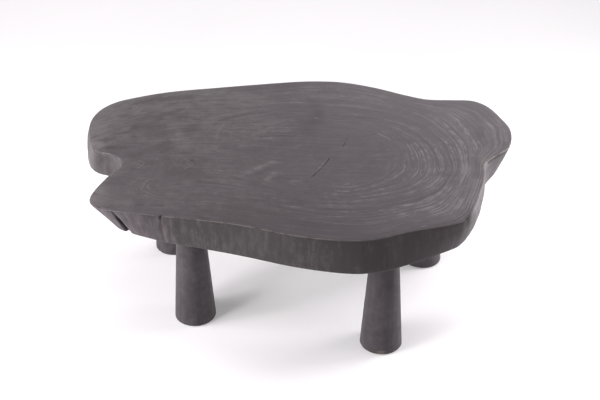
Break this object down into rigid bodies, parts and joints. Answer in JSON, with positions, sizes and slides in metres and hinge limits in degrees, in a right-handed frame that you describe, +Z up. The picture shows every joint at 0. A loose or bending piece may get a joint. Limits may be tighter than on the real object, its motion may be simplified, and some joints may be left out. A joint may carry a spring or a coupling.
{
  "type": "live edge coffee table",
  "caption": "Low coffee table: a thick slab cut across the trunk with its live edge kept, stained matt black, on round tapered legs that widen down to the floor.",
  "frame": {"origin": "on the floor, under the middle of the slab's bounding box", "axes": "+Z up, +X along the slab's length to the right, -Y to the front"},
  "size_m": [1.142, 0.8104, 0.42],
  "materials": {
    "slab_wood": "matt black stain over brushed end grain",
    "leg_wood": "matt black stain over long grain",
    "bolt_steel": "zinc plated",
    "insert_zinc": "passivated zinc alloy",
    "pad_felt": "pressed felt"
  },
  "bodies": {
    "root": {"slab_top": "slab_wood", "leg_front_left": "leg_wood", "leg_front_right": "leg_wood", "leg_back_left": "leg_wood", "leg_back_right": "leg_wood", "bolt_front_left": "bolt_steel", "bolt_front_right": "bolt_steel", "bolt_back_left": "bolt_steel", "bolt_back_right": "bolt_steel", "insert_front_left": "insert_zinc", "insert_front_right": "insert_zinc", "insert_back_left": "insert_zinc", "insert_back_right": "insert_zinc", "pad_front_left": "pad_felt", "pad_front_right": "pad_felt", "pad_back_left": "pad_felt", "pad_back_right": "pad_felt"}
  },
  "joints": []
}
